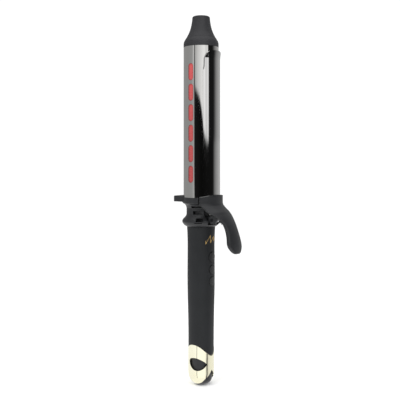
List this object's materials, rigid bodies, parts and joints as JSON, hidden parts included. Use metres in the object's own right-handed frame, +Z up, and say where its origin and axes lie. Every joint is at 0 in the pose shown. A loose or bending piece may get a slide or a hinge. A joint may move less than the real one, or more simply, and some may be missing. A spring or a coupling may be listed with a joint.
{
  "type": "curling iron",
  "caption": "Clamp curling iron: mirror barrel with glowing slots, sprung curved clamp and thumb lever, cool tip, rest tab, push buttons and a swivel cord entry.",
  "frame": {"origin": "on the handle's axis, at its foot, in the mouth of the cord entry", "axes": "+Z up the barrel to the cool tip; +X towards the clamp and its lever; -X towards the rest tab; the two slot rows face -Y and +Y"},
  "size_m": [0.066, 0.0344, 0.3348],
  "materials": {
    "barrel_metal": "dark polished metal with a ceramic-tourmaline look",
    "clamp_metal": "dark polished sheet metal",
    "lens_red": "translucent red, glows when on",
    "black_plastic": "fine matte",
    "grip_plastic": "soft-touch matte",
    "tip_plastic": "matte heat-resistant",
    "button_plastic": "satin gloss",
    "pale_gold": "polished pale gold plating",
    "steel": "plain steel",
    "aluminium": "extruded",
    "ceramic": "sintered ceramic",
    "film": "polyimide film",
    "board_green": "printed circuit board",
    "chip": "moulded package",
    "relay_plastic": "moulded case",
    "wire": "silicone insulation",
    "brass": "contact brass"
  },
  "bodies": {
    "iron": {"barrel_tube": "barrel_metal", "lens_strip_front": "lens_red", "lens_strip_back": "lens_red", "emitter_board_front": "board_green", "emitter_board_back": "board_green", "emitters_front": "chip", "emitters_back": "chip", "heater_plate": "ceramic", "heater_wrap": "film", "heat_spreader_front": "aluminium", "heat_spreader_back": "aluminium", "temperature_sensor": "chip", "thermal_fuse": "steel", "heater_leads": "wire", "tip_base": "tip_plastic", "cool_tip": "tip_plastic", "tip_screw": "steel", "hinge_collar": "black_plastic", "hinge_pin": "steel", "torsion_spring": "steel", "handle_sleeve": "grip_plastic", "collar_screws": "steel", "board_tray": "black_plastic", "circuit_board": "board_green", "tact_switches": "chip", "relay": "relay_plastic", "capacitor": "chip", "board_screws": "steel", "end_cap": "pale_gold", "end_core": "black_plastic", "brush_block": "black_plastic", "slip_brushes": "brass", "power_leads": "wire"},
    "clamp": {"clamp_plate": "clamp_metal", "thumb_lever": "black_plastic", "clamp_rivets": "steel"},
    "button_power": {"button_power": "button_plastic"},
    "button_plus": {"button_plus": "button_plastic"},
    "button_minus": {"button_minus": "button_plastic"},
    "swivel": {"swivel_gland": "black_plastic", "slip_spindle": "black_plastic", "slip_rings": "brass"}
  },
  "joints": [
    {"name": "clamp_hinge", "type": "hinge", "parent": "iron", "child": "clamp", "pos_m": [0.017, 0, 0.15], "axis": [0, 1, 0], "range_deg": [0, 24], "stiffness_Nm_per_rad": 0.25, "springref_deg": -28.65},
    {"name": "button_power_press", "type": "slide", "parent": "iron", "child": "button_power", "axis": [-1, 0, 0], "range_m": [0, 0.0005], "stiffness_N_per_m": 1500, "springref_m": -0.0002},
    {"name": "button_plus_press", "type": "slide", "parent": "iron", "child": "button_plus", "axis": [-1, 0, 0], "range_m": [0, 0.0005], "stiffness_N_per_m": 1500, "springref_m": -0.0002},
    {"name": "button_minus_press", "type": "slide", "parent": "iron", "child": "button_minus", "axis": [-1, 0, 0], "range_m": [0, 0.0005], "stiffness_N_per_m": 1500, "springref_m": -0.0002},
    {"name": "cord_swivel", "type": "hinge", "parent": "iron", "child": "swivel", "pos_m": [0, 0, 0], "axis": [0, 0, 1], "continuous": true}
  ]
}
